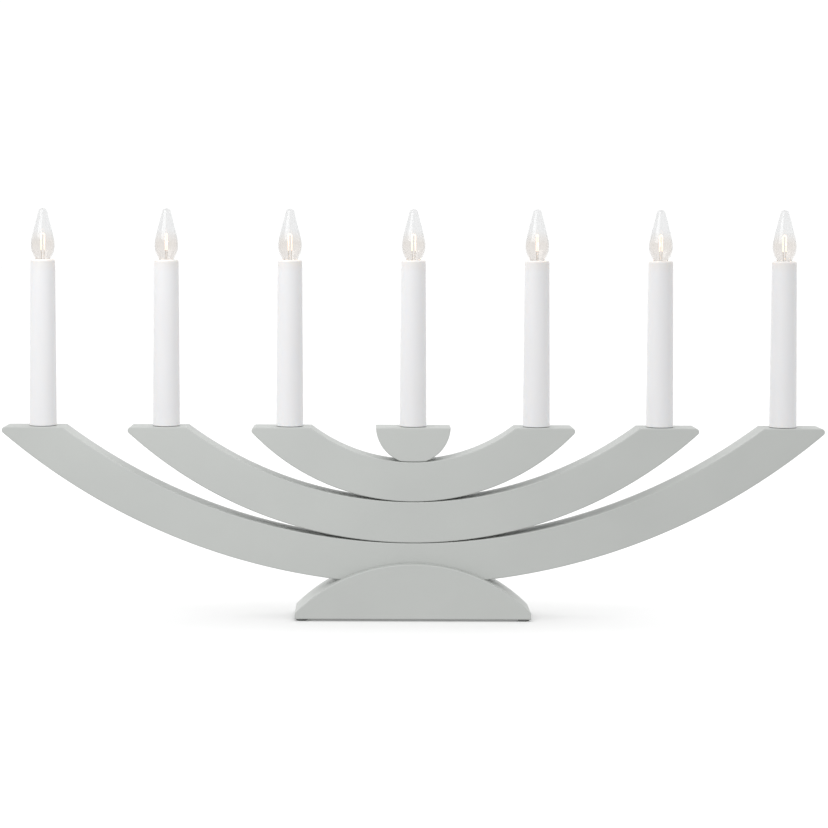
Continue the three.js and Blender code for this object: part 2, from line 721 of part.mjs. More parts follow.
for (let number = 1; number <= LIGHT_COUNT; number += 1) {
  const light = new THREE.Group();
  light.position.set((number - 1 - ARMS.length) * LIGHT_SPACING, 0, ARM_TOP);
  addPiece(light, `sleeve_${number}`, sleeve(), 'sleevePlastic');
  const lamp = new THREE.Group();
  lamp.position.z = SLEEVE_HEIGHT;
  addPiece(lamp, `lampholder_${number}`, lampholder(), 'holderPlastic');
  addPiece(lamp, `lamp_glass_${number}`, lampGlass(), 'glass');
  addPiece(lamp, `lamp_filament_${number}`, lampFilament(), 'filament');
  addPiece(lamp, `lamp_cap_${number}`, lampCap(), 'cap');
  addPiece(lamp, `lamp_contact_${number}`, lampContact(), 'solder');
  light.add(lamp);
  candlestick.add(light);
}

export default candlestick;
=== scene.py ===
import math
from contextlib import contextmanager

import bmesh
import bpy
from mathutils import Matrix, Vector


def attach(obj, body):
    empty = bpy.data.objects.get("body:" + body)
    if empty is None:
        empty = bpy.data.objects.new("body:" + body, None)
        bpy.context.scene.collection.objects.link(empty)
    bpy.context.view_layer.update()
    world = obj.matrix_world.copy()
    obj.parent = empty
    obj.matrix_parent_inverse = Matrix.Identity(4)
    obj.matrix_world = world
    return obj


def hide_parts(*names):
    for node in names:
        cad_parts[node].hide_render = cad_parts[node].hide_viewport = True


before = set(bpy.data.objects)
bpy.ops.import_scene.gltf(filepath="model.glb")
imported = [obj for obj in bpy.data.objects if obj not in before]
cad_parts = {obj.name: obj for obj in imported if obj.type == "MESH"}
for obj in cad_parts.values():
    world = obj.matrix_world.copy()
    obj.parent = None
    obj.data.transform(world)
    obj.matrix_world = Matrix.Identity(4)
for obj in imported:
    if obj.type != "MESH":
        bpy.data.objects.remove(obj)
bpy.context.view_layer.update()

# A seven-light electric candlestick in painted wood: three nested crescent arms and a half-round
# cup on an arched base, white candle sleeves, and clear flame-shaped lamps. Metres, front to -Y.

MM = 0.001
WELD = 1e-6  # points closer than this are one
OVERCUT = 2 * MM  # how far a cutter runs past the face that it opens
FULL_TURN = 2 * math.pi

# Heights
BASE_BOTTOM = 1.5 * MM
BASE_TOP = 41.5 * MM
ARM_TOP = 139.7 * MM
SLEEVE_TOP = 261 * MM

# Wood
ARM_DEPTH = 25 * MM
BACK = ARM_DEPTH / 2
LAND_INSIDE = 15.8 * MM  # top land inside each light's axis
TIP_RADIUS = 2.5 * MM
ARM_EDGE = 0.8 * MM
SEAT_GAP = 0.3 * MM
ARC_FACET = 3.2 * MM  # length of a facet on the long curves
TIP_FACET = 0.5 * MM
CUP_HALF_WIDTH = 27.1 * MM
CUP_BOTTOM = 115 * MM
CUP_SEAT_CUT = 1.2 * MM
BASE_HALF_WIDTH = 85.5 * MM
BASE_DEPTH = 40 * MM
BASE_END_HEIGHT = 4.4 * MM
LIGHT_SPACING = 90 * MM
DOWEL_RADIUS = 4 * MM
DOWEL_REACH = 6 * MM  # into each of the two pieces that it joins
SPIGOT_RADIUS = 6 * MM  # the plug under a sleeve
SPIGOT_LENGTH = 6 * MM
SPIGOT_HOLE_DEPTH = 12 * MM
SCREW_RADIUS = 2 * MM
SCREW_HOLE_RADIUS = SCREW_RADIUS + SEAT_GAP
SCREW_HEAD_RADIUS = 4.2 * MM
SCREW_TIP = 41 * MM  # height above the table

# Wiring
GROOVE_WIDTH = 6 * MM
GROOVE_FLOOR = 6.6 * MM  # behind the lights' plane
GROOVE_END = 1.1 * MM  # short of a light's axis
RISER_FLOOR = 9.1 * MM
PASSAGE_FLOOR = -2.5 * MM
LEAD_TURN = 14 * MM
ARM_LEAD_Y = 8 * MM
RISER_Y = 10.5 * MM
CORE_RADIUS = 0.56 * MM  # each of the two cores of a lead
INLET_HEIGHT = 33.75 * MM
BUSH_RADIUS = 3.7 * MM
BUSH_FLANGE_RADIUS = 5.2 * MM
BUSH_FLANGE_Y = 18.4 * MM
LEAD_END = 240.2 * MM

# The arms from the lowest up: lights' distance, overhang past them, underside and hollow heights
ARMS = {
    "lower": (270 * MM, 32.4 * MM, 26 * MM, 55.7 * MM),
    "middle": (180 * MM, 30.9 * MM, 56 * MM, 85.7 * MM),
    "upper": (90 * MM, 30.5 * MM, 86 * MM, 114.7 * MM),
}


# Hand work shared by the pieces

bpy.ops.object.select_all(action="DESELECT")  # nothing of the frame is picked up


def level(height):
    """A height in millimetres above the sleeve's top, as a place in the frame."""
    return SLEEVE_TOP + height * MM


def select_only(piece):
    bpy.ops.object.select_all(action="DESELECT")
    piece.select_set(True)
    bpy.context.view_layer.objects.active = piece


def settle(name):
    """Names the piece just added and puts its place into its mesh."""
    piece = bpy.context.active_object
    piece.name = name
    piece.data.name = name
    bpy.ops.object.transform_apply(location=True, rotation=True, scale=True)
    return piece


@contextmanager
def editing(piece, kind):
    select_only(piece)
    bpy.ops.object.mode_set(mode="EDIT")
    bpy.ops.mesh.select_mode(type=kind)
    bpy.ops.mesh.select_all(action="DESELECT")
    yield
    bpy.ops.object.mode_set(mode="OBJECT")


def pick_edges(piece, wanted):
    """Selects the edges whose two ends pass a test."""
    cage = bmesh.from_edit_mesh(piece.data)
    for edge in cage.edges:
        edge.select_set(wanted(edge.verts[0].co, edge.verts[1].co))
    bmesh.update_edit_mesh(piece.data)


def pick_faces(piece, wanted):
    """Selects the faces whose centre and normal pass a test."""
    cage = bmesh.from_edit_mesh(piece.data)
    for face in cage.faces:
        face.select_set(wanted(face.calc_center_median(), face.normal))
    bmesh.update_edit_mesh(piece.data)


def extrude(x, y, z):
    bpy.ops.mesh.extrude_region_move(TRANSFORM_OT_translate={"value": (x, y, z)})


def face_outwards():
    """Turns every face of the piece being edited outwards."""
    bpy.ops.mesh.select_all(action="SELECT")
    bpy.ops.mesh.normals_make_consistent(inside=False)


def apply_modifiers(piece):
    select_only(piece)
    for modifier in list(piece.modifiers):
        bpy.ops.object.modifier_apply(modifier=modifier.name)


class Outline:
    """A front-view outline, drawn by extruding and spinning one point, with x right and z up."""

    def __init__(self, name, x, z, y=0.0):
        bpy.ops.mesh.primitive_plane_add(size=MM, location=(x, y, z))
        self.piece = settle(name)
        self.x, self.z = x, z
        bpy.ops.object.mode_set(mode="EDIT")
        bpy.ops.mesh.select_mode(type="VERT")
        bpy.ops.mesh.select_all(action="SELECT")
        bpy.ops.mesh.merge(type="CENTER")

    def line_to(self, x, z):
        extrude(x - self.x, 0, z - self.z)
        self.x, self.z = x, z

    def arc_about(self, x, z, angle, facet):
        """Carries the outline round a centre, anticlockwise for a positive angle."""
        radius = math.hypot(self.x - x, self.z - z)
        start = math.atan2(self.z - z, self.x - x)
        steps = max(2, math.ceil(abs(angle) * radius / facet))
        bpy.ops.mesh.spin(steps=steps, angle=angle, center=(x, 0, z), axis=(0, 1, 0))
        self.x = x + radius * math.cos(start + angle)
        self.z = z + radius * math.sin(start + angle)

    def board(self, depth, edge):
        """Fills the outline, gives it depth to the back and rounds its front and back edges."""
        bpy.ops.mesh.select_all(action="SELECT")
        bpy.ops.mesh.remove_doubles(threshold=WELD)
        bpy.ops.mesh.edge_face_add()
        extrude(0, depth, 0)
        face_outwards()
        bpy.ops.mesh.select_mode(type="EDGE")
        pick_edges(self.piece, lambda one, two: abs(one.y - two.y) < WELD)
        bpy.ops.mesh.bevel(
            offset=edge, segments=5, profile=0.5, affect="EDGES", clamp_overlap=False
        )
        bpy.ops.object.mode_set(mode="OBJECT")
        return self.piece

    def turn(self, facets):
        """Spins the outline round the upright axis to a closed turned piece."""
        bpy.ops.mesh.select_all(action="SELECT")
        bpy.ops.mesh.spin(steps=facets, angle=FULL_TURN, center=(0, 0, 0), axis=(0, 0, 1))
        bpy.ops.mesh.select_all(action="SELECT")
        bpy.ops.mesh.remove_doubles(threshold=WELD)
        face_outwards()
        bpy.ops.object.mode_set(mode="OBJECT")
        return self.piece


def turned(name, profile, facets):
    """A turned piece from a profile of radius and height."""
    outline = Outline(name, *profile[0])
    for radius, height in profile[1:]:
        outline.line_to(radius, height)
    return outline.turn(facets)


def soften(piece, width, segments=3):
    """Rounds every hard edge of a piece."""
    rounding = piece.modifiers.new("soft edges", "BEVEL")
    rounding.width = width
    rounding.segments = segments
    rounding.limit_method = "ANGLE"
    rounding.angle_limit = math.radians(40)
    apply_modifiers(piece)


def shade(piece, angle=35):
    """Smooth shading that keeps flat faces flat."""
    select_only(piece)
    bpy.ops.object.shade_smooth_by_angle(angle=math.radians(angle))
    even = piece.modifiers.new("even shading", "WEIGHTED_NORMAL")
    even.keep_sharp = True
    apply_modifiers(piece)


def carve(piece, cutter):
    cut = piece.modifiers.new("cut", "BOOLEAN")
    cut.operation = "DIFFERENCE"
    cut.solver = "EXACT"
    cut.object = cutter
    apply_modifiers(piece)
    bpy.data.objects.remove(cutter)


def drill(piece, radius, x, low, high):
    bpy.ops.mesh.primitive_cylinder_add(
        vertices=48, radius=radius, depth=high - low, location=(x, 0, (low + high) / 2)
    )
    carve(piece, settle("drill"))


def mill(piece, low, high):
    """Cuts out the box between two corners."""
    middle = [(a + b) / 2 for a, b in zip(low, high)]
    size = [b - a for a, b in zip(low, high)]
    bpy.ops.mesh.primitive_cube_add(size=1, location=middle, scale=size)
    carve(piece, settle("mill"))


def disc(radius, height, depth):
    """A disc cutter that lies along the candlestick's depth."""
    facets = 4 * math.ceil(FULL_TURN * radius / ARC_FACET / 4)
    bpy.ops.mesh.primitive_cylinder_add(
        vertices=facets,
        radius=radius,
        depth=depth,
        location=(0, 0, height),
        rotation=(math.pi / 2, 0, 0),
    )
    return settle("disc")


def moved_copy(piece, name, place, turn=0.0):
    """A copy with its own mesh, turned about its upright axis and set down elsewhere."""
    select_only(piece)
    bpy.ops.object.duplicate(linked=False)
    copy = bpy.context.active_object
    copy.rotation_euler = (0, 0, turn)
    copy.location = place
    return settle(name)


def dress(piece, body, slot, finish, *nodes):
    """Gives a piece its finish and seats it on its body in place of its nodes."""
    piece.data.materials.clear()
    piece.data.materials.append(finish)
    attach(piece, body)
    if nodes:
        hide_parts(*nodes)


# Finishes


def add_node(tree, kind, settings=None, **inputs):
    node = tree.nodes.new("ShaderNode" + kind)
    for name, value in (settings or {}).items():
        setattr(node, name, value)
    for name, value in inputs.items():
        node.inputs[name.replace("_", " ")].default_value = value
    return node


def new_finish(name, **sockets):
    finish = bpy.data.materials.new(name)
    finish.use_nodes = True
    tree = finish.node_tree
    shader = tree.nodes["Principled BSDF"]
    for socket, value in sockets.items():
        shader.inputs[socket.replace("_", " ")].default_value = value
    return finish, tree, shader


def spread(tree, scale=(1, 1, 1)):
    """The piece's own coordinates, stretched."""
    place = add_node(tree, "TexCoord")
    mapping = add_node(tree, "Mapping", Scale=scale)
    tree.links.new(place.outputs["Object"], mapping.inputs["Vector"])
    return mapping.outputs["Vector"]


def noise(tree, vector, scale, detail=3.0, roughness=0.5):
    texture = add_node(tree, "TexNoise", Scale=scale, Detail=detail, Roughness=roughness)
    tree.links.new(vector, texture.inputs["Vector"])
    return texture.outputs["Fac"]


def tones(tree, value, low, high, socket, start=0.3, end=0.7):
    """Colours a socket from one tone to another along a value."""
    ramp = add_node(tree, "ValToRGB")
    ramp.color_ramp.elements[0].position = start
    ramp.color_ramp.elements[0].color = (*low, 1)
    ramp.color_ramp.elements[1].position = end
    ramp.color_ramp.elements[1].color = (*high, 1)
    tree.links.new(value, ramp.inputs["Fac"])
    tree.links.new(ramp.outputs["Color"], socket)
    return ramp


def product(tree, socket):
    """Colours a socket by the product of two colours and gives the node that takes them."""
    both = add_node(tree, "Mix", {"data_type": "RGBA", "blend_type": "MULTIPLY"}, Factor=1.0)
    tree.links.new(both.outputs["Result"], socket)
    return both


def between(tree, value, low, high, socket):
    """Drives a socket from a low to a high number along a value."""
    reach = add_node(tree, "MapRange", To_Min=low, To_Max=high)
    tree.links.new(value, reach.inputs["Value"])
    tree.links.new(reach.outputs["Result"], socket)


def rise_through(tree, low, high):
    """A value that goes from 0 to 1 between two heights on the piece."""
    place = add_node(tree, "SeparateXYZ")
    tree.links.new(spread(tree), place.inputs["Vector"])
    rise = add_node(tree, "MapRange", From_Min=low, From_Max=high)
    tree.links.new(place.outputs["Z"], rise.inputs["Value"])
    return rise.outputs["Result"]


def relief(tree, shader, heights):
    """Bumps from several values, each with its depth and strength, chained into the normal."""
    normal = None
    for value, depth, strength in heights:
        bump = add_node(tree, "Bump", Strength=strength, Distance=depth)
        tree.links.new(value, bump.inputs["Height"])
        if normal is not None:
            tree.links.new(normal, bump.inputs["Normal"])
        normal = bump.outputs["Normal"]
    tree.links.new(normal, shader.inputs["Normal"])


def painted_wood():
    """Satin grey-green paint, rolled thinly enough for the grain to show faintly along the arms."""
    finish, tree, shader = new_finish("painted_wood", Specular_IOR_Level=0.4)
    plain = spread(tree)
    grain = noise(tree, spread(tree, (9, 120, 150)), 1.0, detail=5.0, roughness=0.6)
    cloud = noise(tree, plain, 16.0, detail=4.0)
    peel = noise(tree, plain, 1500.0, detail=2.0)
    tones(tree, cloud, (0.479, 0.494, 0.479), (0.504, 0.520, 0.503), shader.inputs["Base Color"])
    between(tree, noise(tree, plain, 60.0), 0.40, 0.54, shader.inputs["Roughness"])
    relief(tree, shader, [(grain, 0.15 * MM, 0.10), (peel, 0.05 * MM, 0.16)])
    return finish


def sleeve_plastic():
    """White moulded plastic with a soft sheen and a little light going into it, with a painted warm
    glow from the lamp near its top.
    """
    finish, tree, shader = new_finish(
        "sleeve_plastic",
        Specular_IOR_Level=0.3,
        Subsurface_Weight=0.2,
        Subsurface_Radius=(1.0, 0.8, 0.65),
        Subsurface_Scale=2.5 * MM,
    )
    plain = spread(tree)
    flow = noise(tree, spread(tree, (60, 60, 9)), 1.0)
    both = product(tree, shader.inputs["Base Color"])
    tones(tree, flow, (0.766, 0.759, 0.766), (0.798, 0.791, 0.797), both.inputs["A"])
    # painted light: the lamp's warm glow, tinted into the colour over the sleeve's top 9 mm
    rise = rise_through(tree, level(-9), level(0))
    tones(tree, rise, (1.0, 1.0, 1.0), (1.0, 0.97, 0.935), both.inputs["B"], start=0.0, end=1.0)
    between(tree, noise(tree, plain, 90.0), 0.30, 0.42, shader.inputs["Roughness"])
    relief(tree, shader, [(noise(tree, plain, 900.0, detail=2.0), 0.03 * MM, 0.12)])
    return finish


def lamp_glass():
    """Thin clear glass with faint blown waves, given painted shade where it is seen edge-on and a
    painted warm glow round the coil.
    """
    finish, tree, shader = new_finish(
        "lamp_glass",
        Transmission_Weight=1.0,
        IOR=1.45,
        Roughness=0.0,
        Specular_Tint=(0.75, 0.75, 0.75, 1),
    )
    both = product(tree, shader.inputs["Base Color"])
    # painted shade: the glass is greyed where it is seen edge-on, standing in for its darker
    # reflections
    edge = add_node(tree, "LayerWeight", Blend=0.35).outputs["Facing"]
    clear, painted_edge_shade = (1.0, 1.0, 1.0), (0.80, 0.803, 0.807)
    tones(tree, edge, clear, painted_edge_shade, both.inputs["A"], start=0.25, end=0.95)
    # painted light: the coil's warm glow, tinted into the glass and warmest about the coil's middle
    rise = rise_through(tree, level(0), level(25))
    foot, tip = (0.880, 0.862, 0.846), (0.892, 0.894, 0.895)
    painted_coil_glow = tones(tree, rise, foot, tip, both.inputs["B"], start=0.15, end=0.85)
    painted_glow_peak = painted_coil_glow.color_ramp.elements.new(0.5)
    painted_glow_peak.color = (0.863, 0.843, 0.822, 1)
    waves = noise(tree, spread(tree, (1, 1, 0.35)), 110.0, detail=1.0)
    relief(tree, shader, [(waves, 0.2 * MM, 0.02)])
    return finish


def glowing_wire():
    """A hot tungsten coil, its glow a little uneven along the wire."""
    finish, tree, shader = new_finish(
        "glowing_wire", Base_Color=(0.32, 0.26, 0.2, 1), Roughness=0.5, Emission_Strength=1.8
    )
    heat = noise(tree, spread(tree), 260.0, detail=2.0)
    tones(tree, heat, (1.0, 0.64, 0.46), (1.0, 0.74, 0.58), shader.inputs["Emission Color"])
    return finish


def metal(name, dark, light, rough, smudge, mark_scale):
    """Bare or plated metal with faint smudges and fine turning marks."""
    finish, tree, shader = new_finish(name, Metallic=1.0)
    plain = spread(tree)
    tones(tree, noise(tree, plain, smudge, detail=4.0), dark, light, shader.inputs["Base Color"])
    haze = noise(tree, plain, smudge * 3)
    between(tree, haze, rough - 0.08, rough + 0.1, shader.inputs["Roughness"])
    marks = noise(tree, spread(tree, mark_scale), 1.0, detail=2.0)
    relief(tree, shader, [(marks, 0.03 * MM, 0.15)])
    return finish


def moulded(name, dark, light, rough, grit):
    """Moulded plastic or rubber with a fine matt skin."""
    finish, tree, shader = new_finish(name, Specular_IOR_Level=0.35)
    plain = spread(tree)
    tones(tree, noise(tree, plain, 180.0), dark, light, shader.inputs["Base Color"])
    between(tree, noise(tree, plain, 420.0), rough - 0.07, rough + 0.07, shader.inputs["Roughness"])
    relief(tree, shader, [(noise(tree, plain, grit, detail=2.0), 0.05 * MM, 0.2)])
    return finish


def beech():
    """Bare beech with fine long flecks."""
    finish, tree, shader = new_finish("beech", Specular_IOR_Level=0.3)
    fibre = noise(tree, spread(tree, (900, 900, 60)), 1.0, detail=4.0, roughness=0.6)
    tones(tree, fibre, (0.42, 0.26, 0.13), (0.62, 0.43, 0.25), shader.inputs["Base Color"])
    between(tree, fibre, 0.6, 0.8, shader.inputs["Roughness"])
    relief(tree, shader, [(fibre, 0.1 * MM, 0.3)])
    return finish


PAINT = painted_wood()
SLEEVE_WHITE = sleeve_plastic()
GLASS = lamp_glass()
GLOW = glowing_wire()
BRASS = metal("cap_plating", (0.62, 0.52, 0.33), (0.78, 0.68, 0.46), 0.28, 260.0, (40, 40, 3000))
STEEL = metal(
    "screw_plating", (0.50, 0.51, 0.52), (0.66, 0.67, 0.68), 0.32, 300.0, (2500, 2500, 80)
)
SOLDER = metal("solder_tin", (0.52, 0.53, 0.54), (0.70, 0.71, 0.72), 0.38, 500.0, (900, 900, 900))
WIRE = metal("support_wire", (0.48, 0.45, 0.40), (0.66, 0.62, 0.56), 0.35, 500.0, (200, 200, 2000))
HOLDER_WHITE = moulded("holder_plastic", (0.66, 0.64, 0.60), (0.74, 0.72, 0.68), 0.45, 1200.0)
LEAD_WHITE = moulded("lead_plastic", (0.66, 0.66, 0.64), (0.74, 0.74, 0.72), 0.42, 900.0)
BUSH_GREY = moulded("bush_rubber", (0.20, 0.21, 0.20), (0.27, 0.28, 0.27), 0.62, 1600.0)
PAD_GREY = moulded("pad_rubber", (0.11, 0.115, 0.11), (0.17, 0.175, 0.17), 0.75, 2200.0)
CAP_BLACK = moulded("insulator_glass", (0.012, 0.012, 0.014), (0.03, 0.03, 0.034), 0.2, 700.0)
BEECH = beech()


# Crescent arms


def sagging(half_span, bottom):
    """Radius and centre height of the circle that dips to the bottom and meets the arm tops."""
    rise = ARM_TOP - bottom
    radius = (half_span**2 + rise**2) / (2 * rise)
    return radius, bottom + radius


def arm_curves(light, overhang, bottom, inside):
    """An arm's underside, hollow and middle line, each by its radius and centre height."""
    outer, outer_z = sagging(light + overhang, bottom)
    inner, inner_z = sagging(light - LAND_INSIDE, inside)
    return (outer, outer_z), (inner, inner_z), ((outer + inner) / 2, (outer_z + inner_z) / 2)


def groove(arm, radius, centre, start, end, floor):
    """Cuts a groove along an arm's middle line, from one x to another and its floor to the back."""
    low, high = math.asin(start / radius), math.asin(end / radius)
    depth = BACK + OVERCUT - floor
    bpy.ops.mesh.primitive_plane_add(
        size=1,
        location=(radius * math.sin(low), floor + depth / 2, centre - radius * math.cos(low)),
        rotation=(0, math.pi / 2 - low, 0),
    )
    bpy.context.active_object.scale = (GROOVE_WIDTH, depth, 1)
    band = settle("groove")
    steps = max(4, math.ceil((high - low) * radius / ARC_FACET))
    with editing(band, "FACE"):
        bpy.ops.mesh.select_all(action="SELECT")
        bpy.ops.mesh.spin(steps=steps, angle=high - low, center=(0, 0, centre), axis=(0, 1, 0))
        face_outwards()
    carve(arm, band)


def riser_slot(piece, low, high):
    half = GROOVE_WIDTH / 2
    mill(piece, (-half, RISER_FLOOR, low), (half, BACK + OVERCUT, high))


def dowel_hole(piece, height):
    reach = DOWEL_REACH + SEAT_GAP
    drill(piece, DOWEL_RADIUS + SEAT_GAP, 0, height - reach, height + reach)


def spigot_hole(piece, x):
    low = ARM_TOP - SPIGOT_HOLE_DEPTH
    drill(piece, SPIGOT_RADIUS + SEAT_GAP, x, low, ARM_TOP + OVERCUT)


def crescent_arm(name, light, overhang, bottom, inside):
    underside, hollow, middle = arm_curves(light, overhang, bottom, inside)
    (outer, outer_z), (_, inner_z) = underside, hollow
    tip_z = ARM_TOP - TIP_RADIUS
    tip_x = math.sqrt((outer - TIP_RADIUS) ** 2 - (outer_z - tip_z) ** 2)
    tip_angle = math.atan2(tip_z - outer_z, tip_x)
    land_x = light - LAND_INSIDE
    land_angle = math.atan2(ARM_TOP - inner_z, land_x)
    outline = Outline(f"{name}_arm_wood", land_x, ARM_TOP, -BACK)
    outline.arc_about(0, inner_z, -math.pi - 2 * land_angle, ARC_FACET)
    outline.line_to(-tip_x, ARM_TOP)
    outline.arc_about(-tip_x, tip_z, math.pi / 2 - tip_angle, TIP_FACET)
    outline.arc_about(0, outer_z, math.pi + 2 * tip_angle, ARC_FACET)
    outline.arc_about(tip_x, tip_z, math.pi / 2 - tip_angle, TIP_FACET)
    arm = outline.board(ARM_DEPTH, ARM_EDGE)
    end = light - GROOVE_END
    passage = light - LEAD_TURN - GROOVE_WIDTH
    groove(arm, *middle, -end, end, GROOVE_FLOOR)
    groove(arm, *middle, -end, -passage, PASSAGE_FLOOR)
    groove(arm, *middle, passage, end, PASSAGE_FLOOR)
    riser_slot(arm, bottom - OVERCUT, inside + OVERCUT)
    spigot_hole(arm, -light)
    spigot_hole(arm, light)
    dowel_hole(arm, inside + SEAT_GAP / 2)
    if name == "lower":
        drill(arm, SCREW_HOLE_RADIUS, 0, bottom - OVERCUT, SCREW_TIP + SEAT_GAP)
    else:
        dowel_hole(arm, bottom - SEAT_GAP / 2)
    shade(arm)
    dress(arm, "root", "painted_wood", PAINT, f"{name}_arm")


for name, sizes in ARMS.items():
    crescent_arm(name, *sizes)


# Half-round cup


def centre_cup():
    round_radius, round_z = sagging(CUP_HALF_WIDTH, CUP_BOTTOM - CUP_SEAT_CUT)
    light, _, _, inside = ARMS["upper"]
    hollow, hollow_z = sagging(light - LAND_INSIDE, inside)
    seat = hollow - SEAT_GAP
    reach = round_radius**2 - round_z**2 - seat**2 + hollow_z**2
    meet_z = reach / (2 * (hollow_z - round_z))
    meet_x = math.sqrt(round_radius**2 - (meet_z - round_z) ** 2)
    side = math.atan2(meet_z - round_z, meet_x)
    top = math.atan2(ARM_TOP - round_z, CUP_HALF_WIDTH)
    under = math.atan2(meet_z - hollow_z, meet_x)
    outline = Outline("centre_cup_wood", -CUP_HALF_WIDTH, ARM_TOP, -BACK)
    outline.arc_about(0, round_z, top - side, ARC_FACET / 3)
    outline.arc_about(0, hollow_z, math.pi + 2 * under, ARC_FACET)
    outline.arc_about(0, round_z, top - side, ARC_FACET / 3)
    cup = outline.board(ARM_DEPTH, ARM_EDGE)
    spigot_hole(cup, 0)
    dowel_hole(cup, CUP_BOTTOM - SEAT_GAP / 2)
    passage_low = ARM_TOP - LEAD_TURN - GROOVE_END
    riser_slot(cup, CUP_BOTTOM - OVERCUT, passage_low + OVERCUT)
    half = GROOVE_WIDTH / 2
    mill(cup, (-half, PASSAGE_FLOOR, passage_low), (half, BACK + OVERCUT, ARM_TOP - 6 * MM))
    shade(cup)
    dress(cup, "root", "painted_wood", PAINT, "centre_cup")


centre_cup()


# Arched base with its foot pads, screw and cord bush


def lay_back(piece):
    """Turns an upright turned piece to lie along the cord inlet."""
    piece.rotation_euler = (-math.pi / 2, 0, 0)
    piece.location = (0, 0, INLET_HEIGHT)
    select_only(piece)
    bpy.ops.object.transform_apply(location=True, rotation=True, scale=True)


def arched_base():
    end_z = BASE_BOTTOM + BASE_END_HEIGHT
    rise = BASE_TOP - end_z
    arch = (BASE_HALF_WIDTH**2 + rise**2) / (2 * rise)
    arch_z = BASE_TOP - arch
    end_angle = math.atan2(end_z - arch_z, BASE_HALF_WIDTH)
    outline = Outline("base_wood", BASE_HALF_WIDTH, end_z, -BASE_DEPTH / 2)
    outline.arc_about(0, arch_z, math.pi - 2 * end_angle, ARC_FACET)
    outline.line_to(-BASE_HALF_WIDTH, BASE_BOTTOM)
    outline.line_to(BASE_HALF_WIDTH, BASE_BOTTOM)
    base = outline.board(BASE_DEPTH, ARM_EDGE)
    light, overhang, bottom, _ = ARMS["lower"]
    outer, outer_z = sagging(light + overhang, bottom)
    carve(base, disc(outer + SEAT_GAP, outer_z, ARM_DEPTH + 2 * SEAT_GAP))
    sink_radius = SCREW_HEAD_RADIUS + SEAT_GAP
    drill(base, SCREW_HOLE_RADIUS, 0, BASE_BOTTOM - OVERCUT, bottom + OVERCUT)
    drill(base, sink_radius, 0, BASE_BOTTOM - OVERCUT, BASE_BOTTOM + 0.6 * MM)
    sink_low, sink_high = BASE_BOTTOM + 0.4 * MM, BASE_BOTTOM + 2.9 * MM
    sink = turned(
        "countersink",
        [
            (0, sink_low),
            (sink_radius, sink_low),
            (SCREW_HOLE_RADIUS, sink_high),
            (0, sink_high),
        ],
        48,
    )
    carve(base, sink)
    inlet_y, behind = 12.3 * MM, BASE_DEPTH / 2 + 2 * OVERCUT
    for radius, start in ((BUSH_RADIUS, inlet_y), (BUSH_FLANGE_RADIUS, BUSH_FLANGE_Y)):
        radius, start = radius + SEAT_GAP, start - SEAT_GAP
        bore = turned("bore", [(0, start), (radius, start), (radius, behind), (0, behind)], 48)
        lay_back(bore)
        carve(base, bore)
    shade(base)
    dress(base, "root", "painted_wood", PAINT, "base")


def cord_bush():
    bore, front, back = 2.4 * MM, 14.7 * MM, BASE_DEPTH / 2
    bush = turned(
        "cord_bush_ring",
        [
            (bore, front),
            (BUSH_RADIUS, front),
            (BUSH_RADIUS, BUSH_FLANGE_Y),
            (BUSH_FLANGE_RADIUS, BUSH_FLANGE_Y),
            (BUSH_FLANGE_RADIUS, back),
            (bore, back),
            (bore, front),
        ],
        48,
    )
    lay_back(bush)
    soften(bush, 0.45 * MM, 4)
    shade(bush)
    dress(bush, "root", "bush_rubber", BUSH_GREY, "cord_bush")


def base_screw():
    head = BASE_BOTTOM + 0.5 * MM
    screw = turned(
        "base_screw_body",
        [
            (0, head),
            (SCREW_HEAD_RADIUS, head),
            (SCREW_HEAD_RADIUS, head + 0.3 * MM),
            (SCREW_RADIUS, head + 2.4 * MM),
            (SCREW_RADIUS, SCREW_TIP - 4 * MM),
            (0, SCREW_TIP),
        ],
        40,
    )
    soften(screw, 0.15 * MM, 2)
    for size in ((5 * MM, 0.9 * MM), (0.9 * MM, 5 * MM)):
        bpy.ops.mesh.primitive_cube_add(size=1, location=(0, 0, head), scale=(*size, 2.6 * MM))
        slot = settle("slot")
        with editing(slot, "FACE"):
            pick_faces(slot, lambda centre, normal: normal.z > 0.5)
            bpy.ops.transform.resize(value=(0.45, 0.45, 1))
        carve(screw, slot)
    shade(screw)
    dress(screw, "root", "screw_steel", STEEL, "base_screw")


def foot_pads():
    x, y = 80.3 * MM, 14.5 * MM
    radius, height = 4 * MM, BASE_BOTTOM
    pad = turned("pad", [(0, 0), (radius, 0), (radius, height), (0, height)], 40)
    soften(pad, 0.35 * MM)
    with editing(pad, "FACE"):
        pick_faces(pad, lambda centre, normal: normal.z < -0.9)
        bpy.ops.mesh.inset(thickness=0.5 * MM, depth=-0.12 * MM)
    shade(pad)
    for number, (side, face) in enumerate([(-1, -1), (1, -1), (-1, 1), (1, 1)], 1):
        copy = moved_copy(pad, f"foot_pad_disc_{number}", (side * x, face * y, 0))
        dress(copy, "root", "pad_rubber", PAD_GREY, f"foot_pad_{number}")
    bpy.data.objects.remove(pad)


arched_base()
cord_bush()
base_screw()
foot_pads()


# Dowels


def dowel(name, height):
    low, high = height - DOWEL_REACH, height + DOWEL_REACH
    nose, nose_radius = 1 * MM, 3.2 * MM
    pin = turned(
        f"{name}_dowel_pin",
        [
            (0, low),
            (nose_radius, low),
            (DOWEL_RADIUS, low + nose),
            (DOWEL_RADIUS, high - nose),
            (nose_radius, high),
            (0, high),
        ],
        32,
    )
    soften(pin, 0.2 * MM, 2)
    shade(pin)
    dress(pin, "root", "bare_wood", BEECH, f"{name}_dowel")


for name, (_, _, _, inside) in ARMS.items():
    dowel(name, inside + SEAT_GAP / 2)


# Twin-core leads in the backs of the arms


